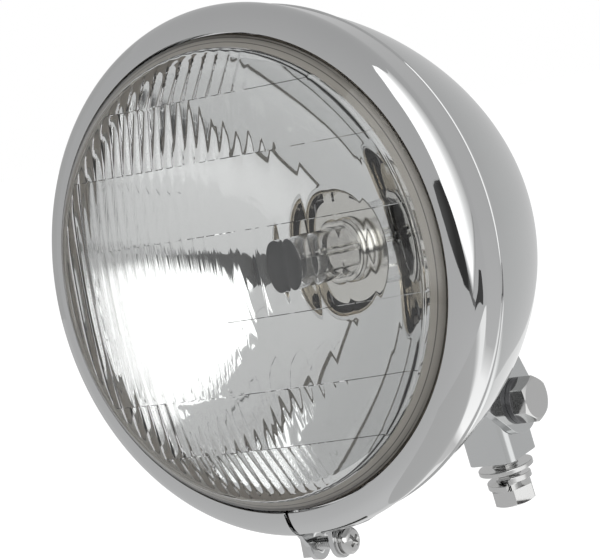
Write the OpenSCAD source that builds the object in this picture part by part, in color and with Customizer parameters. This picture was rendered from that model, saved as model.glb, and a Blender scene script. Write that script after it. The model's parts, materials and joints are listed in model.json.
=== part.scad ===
// Round chrome motorcycle headlight with a split trim rim, a fluted glass lens and a swivel mount below.
// The mount's seat is at the origin, +Z is up, and the lamp shines along -Y. All sizes are millimetres.

/* [Trim rim] */
// Radius of the rim's crown, its widest ring
rim_r = 79.5; // [78.8:0.1:81]
// Width of the rim from the lip out to the crown
rim_curl = 8.1; // [7.7:0.1:8.7]
// Depth from the lip back to the crown
crown_back = 7.5; // [7:0.1:8.5]
// Depth from the lip back to the rim's rear edge
rim_depth = 19.7; // [18:0.1:22]
// Thickness of the rim's sheet
rim_wall = 1.0; // [0.8:0.1:1.1]
// Width of the split between the rim's ends
split_gap = 1.6; // [1:0.1:2.4]
// Depth from the lip back to the notch that the clamp's lugs stand in
notch_y = 4.4; // [4:0.1:5]
// Width of the relief slit beside the notch
slit_w = 0.8; // [0.5:0.1:1.2]
// Length of the relief slit
slit_len = 20; // [14:1:26]

/* [Rim clamp] */
// Distance between the two clamp lugs
lug_gap = 7.1; // [6:0.1:9]
// Thickness of a clamp lug
lug_t = 1.6; // [1.2:0.1:2]
// Radius of a lug's round end
lug_r = 4.9; // [4.5:0.1:6]
// Depth of the clamp screw behind the lip
clamp_back = 15.0; // [14:0.1:16]
// Distance of the clamp screw below the crown
clamp_drop = 3.9; // [3.6:0.1:5]
// Length of each lug's foot around the rim
foot_len = 15; // [10:0.5:20]
// Diameter of the clamp screw's thread
clamp_d = 4; // [3:0.5:5]

/* [Shell] */
// Distance of the shell's widest ring inside the rim's crown
shell_step = 2.8; // [2.8:0.1:3.3]
// Depth of the shell's dome behind the rim
dome_depth = 87.7; // [80:0.5:95]
// Thickness of the shell's sheet
shell_wall = 1.0; // [0.8:0.1:1.5]
// Fullness of the dome along the lamp's axis
dome_full_y = 1.42; // [1.35:0.01:1.6]
// Fullness of the dome across the lamp
dome_full_r = 1.96; // [1.85:0.01:2.1]
// Depth of the wire inlet behind the lip
inlet_back = 52; // [44:0.5:58]
// Radius of the wire inlet's bore
inlet_r = 3.6; // [3:0.1:4]

/* [Lens] */
// Width of the plain glass between the lens's face and the lip
lens_margin = 5.9; // [4.9:0.1:7.4]
// Distance of the face's edge in front of the lip
lens_proud = 5; // [4:0.1:6]
// Height of the lens's dome
lens_bulge = 10; // [7:0.1:12]
// Thickness of the glass
glass_t = 3.6; // [3:0.1:4.5]
// Pitch of the fine flutes in the outer bands
flute_pitch = 4.2; // [3.9:0.1:5]
// Height of a fine flute above the inner face
flute_rise = 0.8; // [0.5:0.05:1]
// Pitch of the wide flutes in the middle bands
wide_pitch = 9; // [8:0.1:11]
// Height of a wide flute above the inner face
wide_rise = 0.45; // [0.3:0.05:0.7]

/* [Reflector and bulb] */
// Distance of the reflector's mouth inside the lens's flange
bowl_margin = 10.3; // [9.8:0.1:11.8]
// Depth from the lip back to the reflector's focus wall
bowl_depth = 50; // [46:0.5:54]
// Thickness of the reflector's sheet
bowl_wall = 0.8; // [0.6:0.1:1.2]
// Radius of the bulb hole in the reflector
neck_r = 19; // [18:0.1:19.5]
// Radius of the bulb's glass
bulb_r = 7.8; // [7.5:0.1:9]
// Length of the bulb's glass in front of its collar
bulb_len = 29.5; // [27:0.5:32]

/* [Swivel mount] */
// Depth of the pivot behind the lip
pivot_back = 108; // [106:0.5:112]
// Distance of the pivot below the lamp's axis
pivot_drop = 58.9; // [57:0.1:62]
// Tilt of the swivel block from upright, foot to the rear
block_tilt = 9.5; // [0:0.5:15]
// Width of the swivel block
block_w = 17.5; // [16:0.5:20]
// Depth of the swivel block
block_d = 17; // [15:0.5:19]
// Distance from the pivot down to the block's seat
block_h = 18; // [17:0.5:24]
// Thickness of the two ears on the shell
ear_t = 3; // [2.5:0.1:4]
// Radius of an ear's round end
ear_r = 10.5; // [9.5:0.1:12]
// Diameter of the pivot bolt and of the mount bolt
bolt_d = 8; // [7:0.5:8]
// Width of the hexagon heads across their flats
hex_af = 13; // [12.5:0.5:14]
// Distance from the block's seat down to the mount bolt's head
head_drop = 9.9; // [8.5:0.1:11]

/* [Hidden] */

// Fits and clearances
seat = 0.2;          // between pieces that rest on each other
slip = 0.08;         // radial clearance of the pivot bolt in the block
loose = 0.2;         // radial clearance of a washer or a bolt in a plain hole
side_play = 0.3;     // between the block and each ear
thread_play = 0.05;  // radial clearance at a thread

// Places
pivot_y = -block_h * sin(block_tilt);
pivot_z = block_h * cos(block_tilt);
lip_y = pivot_y - pivot_back;
axis_z = pivot_z + pivot_drop;

// Radii that follow the rim's
lip_r = rim_r - rim_curl;
shell_r = rim_r - shell_step;
lens_face_r = lip_r - lens_margin;
flange_r = lip_r + 2.4;
bowl_r = flange_r - bowl_margin;

// Rim section: a quarter ellipse from the lip to the crown, then a straight skirt
lip_turn = 8;                                 // angle at which the ellipse meets the lip
crown_span = (rim_r - lip_r) / (1 - sin(lip_turn));
crown_mid = rim_r - crown_span;
crown_rise = crown_back - 0.55;
rear_r = shell_r + rim_wall;

// Shell places
shell_start = rim_depth + seat;
sleeve_r = shell_r - seat;    // the shell's front part, which stands inside the rim
mouth_back = 10.8;
bead_w = 1.6;
bead_r = shell_r + 0.6;
grommet_neck = inlet_r + 2.2;

// Lens places
lens_radius = (pow(lens_face_r, 2) + pow(lens_bulge, 2)) / (2 * lens_bulge);
lens_centre = lens_radius - lens_proud - lens_bulge;
inner_radius = lens_radius - glass_t;
flange_y = 2.4;
flange_t = 2.4;
bond_t = 0.4;
bowl_y = flange_y + flange_t + bond_t;
bowl_k = pow(bowl_r, 2) / (bowl_depth - bowl_y);
neck_y = bowl_depth - pow(neck_r, 2) / bowl_k;
neck_end = neck_y + 6;
ring_y = bowl_y + bowl_wall + seat / 2;
ring_t = 1.0;

// Bulb places
base_y = neck_end + 0.1;      // front of the bulb's flange, which seats on the neck
base_t = 1.2;
base_r = neck_r + 2;
collar_r = bulb_r + 2.2;
collar_front = base_y - 5;
glass_end = base_y - 1;       // the glass's open end, inside the collar
bulb_tip = collar_front - bulb_len;
bulb_nose = 2.5;
bulb_wall = 0.9;
stem_t = 1.6;                 // the disc that carries the filaments
stem_y = glass_end - stem_t;
insulator_r = 10;
insulator_len = 10;
insulator_y = base_y + base_t;

// Hardware
shank_r = bolt_d / 2;
head_h = 5.3;
nut_h = 6.5;
ear_in = block_w / 2 + side_play;
ear_out = ear_in + ear_t;
washer_t = 1.6;
washer_r = 9;
lock_r = 7.4;
lock_t = 1.8;
screw_r = clamp_d / 2;
clamp_z = -(rim_r + clamp_drop);
lug_x = -3.5;                 // inner face of the left lug
lug_x2 = lug_x + lug_gap;     // inner face of the right lug
clamp_washer_t = 1.0;
clamp_washer_r = 4.3;
foot_t = 0.7;                 // a lug's foot on the rim
pan_r = 4.1;
pan_h = 2.3;
screw_head_x = lug_x2 + lug_t + 2 * clamp_washer_t;
clamp_nut_w = 7;
clamp_nut_t = 3;
washer_drop = 4.2;            // from the block's seat down to the loose washer's lower face

// Outline of the ears
fan_front = 144;              // direction of an ear's front edge, from +Y towards +Z
fan_rear = 117;               // direction of its rear edge
fan_len = 46;

function crown_point(a, wall) =
    [crown_mid + (crown_span - wall) * sin(a), crown_back - (crown_rise - wall) * cos(a)];
function skirt_r(y) = rim_r - (rim_r - rear_r) * (y - crown_back) / (rim_depth - crown_back);
function dome(radius, depth, steps) = [for (i = [0:steps]) let (t = 90 * i / steps)
    [radius * pow(cos(t), 2 / dome_full_r), shell_start + depth * pow(sin(t), 2 / dome_full_y)]];
function dome_r(y) = let (s = (y - shell_start) / dome_depth)
    shell_r * pow(1 - pow(s, dome_full_y), 1 / dome_full_r);
function dome_slope(y) = (dome_r(y + 0.1) - dome_r(y - 0.1)) / 0.2;
function back(points) = [for (i = [len(points) - 1:-1:0]) points[i]];
function bowl_point(r) = [r, bowl_depth - pow(r, 2) / bowl_k];
function bowl_back(r) = let (s = 2 * r / bowl_k, n = sqrt(1 + s * s), p = bowl_point(r))
    [p[0] + bowl_wall * s / n, p[1] + bowl_wall / n];
function lens_y(x, z) = lens_centre - sqrt(pow(inner_radius, 2) - x * x - z * z);

// The lamp's own frame: its origin is on the axis in the plane of the lip, +Y to the rear
module in_lamp() translate([0, lip_y, axis_z]) children();

// The swivel block's frame: its origin is on the pivot, its Z along the block
module in_block() translate([0, pivot_y, pivot_z]) rotate([block_tilt, 0, 0]) children();

// A solid turned about the lamp's axis from points of radius and depth
module turned(points, fn = 120) rotate([-90, 0, 0]) rotate_extrude($fn = fn) polygon(points);

// A part turn of such a solid, from one angle below the +X side to another
module turned_part(points, from, to, fn = 120)
    rotate([-90, 0, 0]) rotate([0, 0, from]) rotate_extrude(angle = to - from, $fn = fn) polygon(points);

// A cylinder along X from one place to another
module along_x(r, from, to, fn = 48)
    translate([from, 0, 0]) rotate([0, 90, 0]) cylinder(r = r, h = to - from, $fn = fn);

// A hexagon head with a turned chamfer on its outer end, from Z = 0 upwards
module hex_head(h) {
    point_r = hex_af / 2 / cos(30);
    chamfer = (point_r - hex_af / 2 * 0.96) * tan(30);
    intersection() {
        cylinder(r = point_r, h = h, $fn = 6);
        union() {
            cylinder(r = point_r + 1, h = h - chamfer, $fn = 48);
            translate([0, 0, h - chamfer])
                cylinder(r1 = point_r, r2 = hex_af / 2 * 0.96, h = chamfer, $fn = 48);
        }
    }
}

module rim() color([0.80, 0.81, 0.81]) in_lamp() difference() {
    steps = 14;
    edge = 0.35;
    outer = [for (i = [0:steps]) crown_point(lip_turn + (90 - lip_turn) * i / steps, 0)];
    inner = [for (i = [0:steps]) crown_point(lip_turn + (90 - lip_turn) * i / steps, rim_wall)];
    turned(concat(outer,
        [[skirt_r(rim_depth - edge), rim_depth - edge], [rear_r - edge, rim_depth]],
        [[rear_r - rim_wall, rim_depth]], back(inner)));
    // the split between the two ends
    translate([lug_x, -1, -rim_r - 1]) cube([split_gap, rim_depth + 2, rim_r - lip_r + 4]);
    // the notch behind the crown that the lugs stand in
    translate([lug_x, notch_y, -rim_r - 1]) cube([lug_gap + lug_t, rim_depth, 12]);
    // the relief slit that lets the right end flex
    translate([lug_x2, notch_y, -rim_r - 1]) cube([slit_len, slit_w, 8]);
}

// The rim's outer form as a solid, grown by a margin
module rim_solid(grow) {
    steps = 14;
    turned(concat([for (i = [0:steps]) crown_point(lip_turn + (90 - lip_turn) * i / steps, -grow)],
        [[skirt_r(rim_depth + 1) + grow, rim_depth + 1], [0, rim_depth + 1], [0, 1]]));
}

// One clamp lug: a plate across X with a round end, and a foot that is welded along the rim's skirt
module lug(plate_x, foot_from, foot_to, front_top) {
    foot_y = [clamp_back - lug_r + 0.4, rim_depth - 0.6];
    foot = [[skirt_r(foot_y[0]) - 0.1, foot_y[0]], [skirt_r(foot_y[0]) + foot_t, foot_y[0]],
        [skirt_r(foot_y[1]) + foot_t, foot_y[1]], [skirt_r(foot_y[1]) - 0.1, foot_y[1]]];
    top_z = -skirt_r(clamp_back) - 0.1;
    difference() {
        union() {
            turned_part(foot, foot_from, foot_to);
            translate([0, clamp_back, clamp_z]) along_x(lug_r, plate_x, plate_x + lug_t);
            translate([plate_x, 0, 0]) rotate([90, 0, 90]) linear_extrude(lug_t)
                polygon([[front_top, top_z], [clamp_back + lug_r, top_z], [clamp_back + lug_r, clamp_z],
                    [clamp_back, clamp_z - lug_r * 0.5], [clamp_back - lug_r, clamp_z]]);
        }
        translate([0, clamp_back, clamp_z]) along_x(screw_r + loose, plate_x - 1, plate_x + lug_t + 1);
        rim_solid(0.02);
    }
}

module lug_left() color([0.72, 0.73, 0.73]) in_lamp() {
    from = 90 + asin((-lug_x + lug_t / 2) / rim_r);
    lug(lug_x - lug_t, from, from + foot_len / rim_r * 57.3, clamp_back - lug_r - 4);
}

module lug_right() color([0.72, 0.73, 0.73]) in_lamp() {
    to = 90 - asin((lug_x2 + lug_t / 2) / rim_r);
    lug(lug_x2, to - foot_len / rim_r * 57.3, to, clamp_back - lug_r);
}

module clamp_screw() color([0.75, 0.75, 0.74]) in_lamp() translate([0, clamp_back, clamp_z]) {
    end_x = lug_x - lug_t - clamp_nut_t - 1.5;
    difference() {
        union() {
            along_x(screw_r, end_x, screw_head_x + 0.1);
            along_x(pan_r, screw_head_x, screw_head_x + pan_h * 0.55);
            translate([screw_head_x + pan_h * 0.55, 0, 0]) rotate([0, 90, 0])
                cylinder(r1 = pan_r, r2 = pan_r * 0.62, h = pan_h * 0.45, $fn = 48);
        }
        for (turn = [45, 135]) translate([screw_head_x + pan_h, 0, 0]) rotate([turn, 0, 0])
            cube([3, 0.9, 4.4], center = true);
    }
}

module clamp_washer_at(from, r, gap_angle) color([0.7, 0.7, 0.7]) in_lamp()
    translate([from, clamp_back, clamp_z]) rotate([0, 90, 0]) rotate_extrude(angle = 360 - gap_angle, $fn = 48)
        translate([screw_r + loose, 0]) square([r - screw_r - loose, clamp_washer_t]);

module clamp_washer() clamp_washer_at(lug_x2 + lug_t, clamp_washer_r, 0);

module clamp_spring_washer() clamp_washer_at(lug_x2 + lug_t + clamp_washer_t, clamp_washer_r - 1, 12);

module clamp_nut() color([0.7, 0.7, 0.7]) in_lamp()
    translate([lug_x - lug_t - clamp_nut_t, clamp_back, clamp_z]) difference() {
        translate([0, -clamp_nut_w / 2, -clamp_nut_w / 2]) cube([clamp_nut_t, clamp_nut_w, clamp_nut_w]);
        along_x(screw_r + thread_play, -1, clamp_nut_t + 1);
    }

// Flutes of one band, whose limits are shares of the face's radius: upright rods sunk into the inner face, leaning
// with the dome, and side by side as far out as the side wall
module flutes(band, pitch, rise) {
    low = band[0] * lens_face_r;
    high = band[1] * lens_face_r;
    nearest = band[1] > 0.9 ? low : band[0] < -0.9 ? high : max(-low, high);
    mid = (low + high) / 2;
    lean = asin(mid / inner_radius);
    rod_r = (pow(pitch / 2, 2) + pow(rise * 1.25, 2)) / (2 * rise * 1.25);
    reach = sqrt(pow(lens_face_r - 4.5, 2) - pow(nearest, 2));
    count = floor(reach / pitch);
    for (i = [-count:count]) let (x = i * pitch)
        translate([x, lens_y(x, mid) + rise - rod_r, mid]) rotate([-lean, 0, 0])
            cylinder(r = rod_r, h = (high - low) / cos(lean) - 0.5, center = true, $fn = 32);
}

bands_wide = [[-0.504, -0.191], [-0.183, 0.198], [0.206, 0.527]];
bands_fine = [[-0.97, -0.771], [-0.763, -0.511], [0.534, 0.802], [0.81, 0.97]];

module lens() color([0.86, 0.90, 0.92, 0.6]) in_lamp() {
    steps = 12;
    edge_a = asin(lens_face_r / lens_radius);
    inner_r = lens_face_r - 3.2;
    inner_a = asin(inner_r / inner_radius);
    front = [for (i = [0:steps]) let (a = edge_a * i / steps)
        [lens_radius * sin(a), lens_centre - lens_radius * cos(a)]];
    rear = [for (i = [0:steps]) let (a = inner_a * i / steps)
        [inner_radius * sin(a), lens_centre - inner_radius * cos(a)]];
    union() {
        turned(concat(front, [[lens_face_r + 1.2, -lens_proud + 1.1], [lip_r - 0.8, 0.4],
            [lip_r - 0.6, flange_y], [flange_r, flange_y], [flange_r, flange_y + flange_t],
            [bowl_r + 0.5, flange_y + flange_t]], back(rear)));
        intersection() {
            union() {
                for (band = bands_wide) flutes(band, wide_pitch, wide_rise);
                for (band = bands_fine) flutes(band, flute_pitch, flute_rise);
            }
            turned(concat([for (p = front) [p[0], p[1] + glass_t * 0.5]], [[lens_face_r, 4], [0, 4]]));
        }
    }
}

// The sealing compound: a layer behind the glass's flange and a fillet up the inside of its side wall
module lens_bond() color([0.50, 0.47, 0.43]) in_lamp() {
    fillet_r = bowl_r - 0.96;
    fillet_y = -0.9;
    turned([[bowl_r + 0.44, flange_y + flange_t], [flange_r - 0.3, flange_y + flange_t], [flange_r - 0.3, bowl_y],
        [bowl_r - 0.6, bowl_y], [fillet_r - 0.6, fillet_y], [fillet_r, fillet_y]]);
}

module reflector() color([0.85, 0.85, 0.86]) in_lamp() {
    steps = 18;
    inside = [for (i = [0:steps]) bowl_point(bowl_r + (neck_r - bowl_r) * i / steps)];
    outside = [for (i = [1:steps]) bowl_back(bowl_r + (neck_r + bowl_wall - bowl_r) * i / steps)];
    turned(concat([[flange_r + 0.3, bowl_y]], inside, [[neck_r, neck_end], [neck_r + bowl_wall, neck_end],
        [neck_r + bowl_wall, neck_y + bowl_wall]], back(outside),
        [[bowl_r + bowl_wall / 2, bowl_y + bowl_wall], [flange_r + 0.3, bowl_y + bowl_wall]]));
}

module retaining_ring() color([0.62, 0.62, 0.60]) in_lamp()
    turned([[flange_r - 4, ring_y], [rim_r - rim_wall - 2.2, ring_y], [rim_r - rim_wall - 2.2, ring_y + ring_t],
        [flange_r - 3, ring_y + ring_t], [flange_r - 3, ring_y + ring_t + 2], [flange_r - 4, ring_y + ring_t + 2]]);

// Four bent strips that press the retaining ring forward against the rim
module retainer_clips() color([0.55, 0.56, 0.58]) in_lamp() {
    low = ring_y + ring_t + seat / 2;
    reach = skirt_r(crown_back + 1) - rim_wall - seat;
    t = 0.6;
    for (a = [20, 160, 200, 340]) turned_part([[flange_r - 2.6, low], [reach - 1.6, low], [reach, crown_back + 1],
        [reach - 0.5, crown_back + 1.6], [reach - 1.9, low + t], [flange_r - 2.6, low + t]], a - 4, a + 4);
}

// The bulb's blunt nose as a line of radius and depth up to an angle, moved out from the glass's face
function bulb_nose_line(out, to = 90) = [for (i = [0:8]) let (a = to * i / 8)
    [(bulb_r + out) * sin(a), bulb_tip + bulb_nose - (bulb_nose + out) * cos(a)]];

module bulb_glass() color([0.90, 0.93, 0.95, 0.5]) in_lamp() {
    outer = bulb_nose_line(0);
    inner = bulb_nose_line(-bulb_wall);
    turned(concat(outer, [[bulb_r, glass_end], [bulb_r - bulb_wall, glass_end]], back(inner)), 64);
}

module bulb_cap() color([0.10, 0.10, 0.11]) in_lamp() {
    paint_t = 0.2;
    lift = 0.06;
    turned(concat(bulb_nose_line(lift + paint_t, 76), back(bulb_nose_line(lift, 76))), 64);
}

// The dipped-beam shield: a half cup open upwards, on a strap from the collar
module bulb_shield() color([0.60, 0.60, 0.58]) in_lamp() {
    cup_r = 5;
    cup_y = bulb_tip + 9;
    cup_len = 8;
    sheet = 0.5;
    strap_y = cup_y + cup_len - 1;
    difference() {
        translate([0, cup_y, 0]) rotate([-90, 0, 0]) cylinder(r = cup_r, h = cup_len, $fn = 48);
        translate([0, cup_y + sheet, 0]) rotate([-90, 0, 0]) cylinder(r = cup_r - sheet, h = cup_len, $fn = 48);
        translate([-cup_r - 1, cup_y - 1, 0.8]) cube([2 * cup_r + 2, cup_len + 2, cup_r + 1]);
    }
    translate([-1, strap_y, -cup_r]) cube([2, stem_y - 0.1 - strap_y, sheet]);
}

// Two coils on wires that stand in the disc which closes the glass
module bulb_filaments() color([0.65, 0.63, 0.58]) in_lamp() {
    coil_r = 0.8;
    coil_len = 5.5;
    wire_r = 0.3;
    wire_x = 3;
    for (spot = [[bulb_tip + 10, 0], [bulb_tip + 18, 1.6]]) {
        translate([0, spot[0], spot[1]]) rotate([-90, 0, 0]) cylinder(r = coil_r, h = coil_len, $fn = 24);
        for (side = [-1, 1]) let (y = spot[0] + (side < 0 ? wire_r : coil_len - wire_r)) {
            translate([side * wire_x, y, spot[1]]) rotate([-90, 0, 0])
                cylinder(r = wire_r, h = stem_y + 0.1 - y, $fn = 16);
            translate([0, y, spot[1]]) rotate([0, side * 90, 0]) cylinder(r = wire_r, h = wire_x + wire_r, $fn = 16);
        }
    }
    translate([0, stem_y, 0]) rotate([-90, 0, 0]) cylinder(r = bulb_r - bulb_wall - 0.1, h = stem_t, $fn = 48);
}

// The bulb's metal collar and its seating flange with three lugs
module bulb_collar() color([0.70, 0.69, 0.66]) in_lamp() {
    plate_r = neck_r - 3;
    bore = bulb_r + 0.1;
    turned([[bore, collar_front], [collar_r - 0.6, collar_front], [collar_r, collar_front + 0.6],
        [collar_r, base_y], [plate_r, base_y], [plate_r, base_y + base_t], [bore, base_y + base_t]], 64);
    for (a = [90, 210, 330]) translate([0, base_y, 0]) rotate([-90, 0, 0]) rotate([0, 0, a])
        translate([plate_r - 1.5, -4, 0]) cube([base_r - plate_r + 1.5, 8, base_t]);
}

module bulb_insulator() color([0.16, 0.16, 0.16]) in_lamp() {
    translate([0, insulator_y, 0]) rotate([-90, 0, 0]) cylinder(r = insulator_r, h = insulator_len, $fn = 64);
    translate([0, glass_end + 0.1, 0]) rotate([-90, 0, 0])
        cylinder(r = bulb_r - 0.1, h = insulator_y - glass_end, $fn = 64);
}

// Three blades: one across the top and one upright on each side
module bulb_terminals() color([0.78, 0.76, 0.70]) in_lamp() {
    blade = [7.8, 11, 0.8];
    y = insulator_y + insulator_len;
    translate([-blade[0] / 2, y, 5.4]) cube(blade);
    for (side = [-1, 1]) translate([side * 6.4 - blade[2] / 2, y, -5.6]) cube([blade[2], blade[1], blade[0]]);
}

// The sprung wire that holds the bulb's flange on the neck
module bulb_clip() color([0.72, 0.72, 0.72]) in_lamp() {
    wire = 0.7;
    y = base_y + base_t + wire + 0.05;
    leg_x = insulator_r + wire + 0.8;
    half = neck_r + 1.4;
    for (side = [-1, 1]) {
        translate([side * leg_x, y, -half + 4]) cylinder(r = wire, h = 2 * half - 8, $fn = 24);
        translate([side * leg_x, y, half - 4]) sphere(r = wire, $fn = 24);
        translate([side * leg_x, y, -half + 4]) sphere(r = wire, $fn = 24);
    }
    translate([0, y, half - 4]) rotate([0, 90, 0]) cylinder(r = wire, h = 2 * leg_x, center = true, $fn = 24);
}

// The rubber cover over the back of the bulb
module boot() color([0.09, 0.09, 0.09]) in_lamp() {
    grip = neck_r + bowl_wall + 0.1;
    wide = base_r + 1.4;
    t = 1.6;
    turned([[grip, neck_end - 3.2], [grip + t + 0.8, neck_end - 3.2], [grip + t + 0.8, neck_end - 1.6],
        [wide + t, neck_end - 0.4], [wide + t, insulator_y + 3.2], [insulator_r + t + 2, insulator_y + 7.6],
        [insulator_r + t, insulator_y + 9.4], [insulator_r + 0.1, insulator_y + 9.4],
        [insulator_r + 0.1, insulator_y + 6.6], [wide, insulator_y + 2.2], [wide, neck_end + 0.2],
        [grip, neck_end - 1.0]], 96);
}

module shell() color([0.78, 0.79, 0.79]) in_lamp() difference() {
    steps = 22;
    outer = dome(shell_r, dome_depth, steps);
    inner = dome(shell_r - shell_wall, dome_depth - shell_wall, steps);
    bend = 0.1;
    turned(concat([[sleeve_r - shell_wall, mouth_back], [bead_r, mouth_back], [bead_r, mouth_back + bead_w],
        [sleeve_r, mouth_back + bead_w + 0.6], [sleeve_r, shell_start - bend]], outer, back(inner),
        [[sleeve_r - shell_wall, shell_start - bend]]));
    in_inlet() cylinder(r = grommet_neck + 0.1, h = 12, center = true, $fn = 48);
}

// The frame of the wire inlet: on the shell's outer face below the axis, Z pointing out of the shell
module in_inlet() translate([0, inlet_back, -dome_r(inlet_back)])
    rotate([180 - atan(dome_slope(inlet_back)), 0, 0]) children();

module wire_grommet() color([0.08, 0.08, 0.08]) in_lamp() in_inlet() rotate_extrude($fn = 48)
    polygon([[inlet_r, -shell_wall - 2.4], [grommet_neck + 1.6, -shell_wall - 2.4],
        [grommet_neck + 1.6, -shell_wall - 0.5], [grommet_neck, -shell_wall - 0.5], [grommet_neck, 0.1],
        [grommet_neck + 2.2, 0.1], [grommet_neck + 1.6, 2.4], [inlet_r, 2.4]]);

// The outline of an ear in the YZ plane about the pivot: a round end that fans out to the shell
function fan_point(edge, out) = (ear_r - 0.05) * [cos(edge + out * 90), sin(edge + out * 90)];
function fan_far(edge, out) = fan_point(edge, out) + fan_len * [cos(edge), sin(edge)];

module fan(from, to) {
    translate([from, 0, 0]) rotate([90, 0, 90]) linear_extrude(to - from)
        polygon([fan_point(fan_front, 1), [0, 0], fan_point(fan_rear, -1), fan_far(fan_rear, -1),
            fan_far(fan_front, 1)]);
    along_x(ear_r, from, to, 64);
}

// The two ears and the web between them, which lies on the shell
module mount_ears() color([0.76, 0.77, 0.77]) difference() {
    translate([0, pivot_y, pivot_z]) fan(-ear_out, ear_out);
    in_lamp() dome_solid(0.04);
    difference() {
        translate([-ear_in, pivot_y - fan_len, pivot_z - 2 * ear_r])
            cube([2 * ear_in, fan_len + 2 * ear_r, fan_len + 4 * ear_r]);
        in_lamp() dome_solid(ear_t);
    }
    translate([0, pivot_y, pivot_z]) along_x(shank_r + loose, -ear_out - 1, ear_out + 1);
}

// The dome's outer form as a solid, grown by a margin
module dome_solid(grow) turned(concat(dome(shell_r + grow, dome_depth + grow, 22), [[0, shell_start]]));

module pivot_bolt() color([0.76, 0.76, 0.76]) translate([0, pivot_y, pivot_z]) {
    under = ear_out + lock_t;
    along_x(shank_r, -ear_out - washer_t - nut_h - 2, under + 0.1);
    translate([under, 0, 0]) rotate([0, 90, 0]) hex_head(head_h);
}

module pivot_lock_washer() color([0.45, 0.45, 0.46]) translate([ear_out, pivot_y, pivot_z]) rotate([0, 90, 0])
    rotate([0, 0, 60]) rotate_extrude(angle = 350, $fn = 48)
        translate([shank_r + loose, 0]) square([lock_r - shank_r - loose, lock_t]);

module pivot_washer() color([0.70, 0.70, 0.70]) translate([-ear_out - washer_t, pivot_y, pivot_z])
    rotate([0, 90, 0]) rotate_extrude($fn = 64)
        translate([shank_r + loose, 0]) square([washer_r - shank_r - loose, washer_t]);

module pivot_nut() color([0.74, 0.74, 0.74]) translate([-ear_out - washer_t, pivot_y, pivot_z])
    rotate([0, -90, 0]) difference() {
        hex_head(nut_h);
        translate([0, 0, -1]) cylinder(r = shank_r + thread_play, h = nut_h + 2, $fn = 48);
    }

// The block between the ears: round over the pivot, rounded upright edges, tapped from below
module swivel_block() color([0.70, 0.71, 0.71]) in_block() difference() {
    corner = 3.2;
    tap_depth = block_h - shank_r - 2.6;
    intersection() {
        union() {
            translate([-block_w / 2, -block_d / 2, -block_h]) cube([block_w, block_d, block_h]);
            along_x(block_d / 2, -block_w / 2, block_w / 2, 64);
        }
        translate([0, 0, -block_h]) linear_extrude(block_h + block_d / 2 + 1) union() {
            square([block_w - 2 * corner, block_d], center = true);
            square([block_w, block_d - 2 * corner], center = true);
            for (sx = [-1, 1], sy = [-1, 1])
                translate([sx * (block_w / 2 - corner), sy * (block_d / 2 - corner)]) circle(r = corner, $fn = 32);
        }
    }
    along_x(shank_r + slip, -block_w, block_w);
    translate([0, 0, -block_h - 1]) cylinder(r = shank_r + thread_play, h = tap_depth + 1, $fn = 48);
}

module mount_bolt() color([0.76, 0.76, 0.76]) in_block() translate([0, 0, -block_h - head_drop]) {
    reach = 20;
    cylinder(r = shank_r, h = reach, $fn = 48);
    rotate([180, 0, 6]) hex_head(head_h);
}

module mount_washer() color([0.76, 0.76, 0.76]) in_block() translate([0, 0, -block_h - washer_drop])
    rotate_extrude($fn = 64) translate([shank_r + loose, 0]) square([washer_r - shank_r - loose, washer_t]);

// A split spring washer: a square section swept once round, rising from end to end
module mount_lock_washer() color([0.72, 0.72, 0.72]) in_block() translate([0, 0, -block_h - head_drop + 0.1]) {
    steps = 28;
    gap = 14;
    rise = 2.2;
    height = 1.9;
    from = -60 + gap / 2;
    points = [for (i = [0:steps]) let (a = from + (360 - gap) * i / steps, z = rise * (1 - i / steps))
        for (c = [[shank_r + loose, 0], [lock_r, 0], [lock_r, height], [shank_r + loose, height]])
            [c[0] * cos(a), c[0] * sin(a), c[1] + z]];
    sides = [for (i = [0:steps - 1], k = [0:3]) let (n = (k + 1) % 4)
        [4 * i + k, 4 * i + n, 4 * (i + 1) + n, 4 * (i + 1) + k]];
    polyhedron(points, concat([[3, 2, 1, 0]], sides, [[4 * steps, 4 * steps + 1, 4 * steps + 2, 4 * steps + 3]]));
}

rim();
lug_left();
lug_right();
clamp_screw();
clamp_spring_washer();
clamp_washer();
clamp_nut();
lens();
lens_bond();
reflector();
retaining_ring();
retainer_clips();
bulb_glass();
bulb_cap();
bulb_shield();
bulb_filaments();
bulb_collar();
bulb_insulator();
bulb_terminals();
bulb_clip();
boot();
shell();
wire_grommet();
mount_ears();
pivot_bolt();
pivot_lock_washer();
pivot_washer();
pivot_nut();
swivel_block();
mount_bolt();
mount_lock_washer();
mount_washer();
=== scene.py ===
"""Looks of a round chrome motorcycle headlight: trim rim, fluted lens, lamp unit, bulb, shell and swivel mount.

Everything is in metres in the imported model's own frame. Each sub-assembly is worked out in millimetres in a frame of
its own, the lamp's or the block's, and is carried into the row frame when its mesh is done.
"""
import json
import logging
import math
from dataclasses import dataclass, field
from enum import Enum
from typing import Callable, Iterable, Sequence

import bmesh
import bpy
from mathutils import Matrix, Vector


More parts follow.
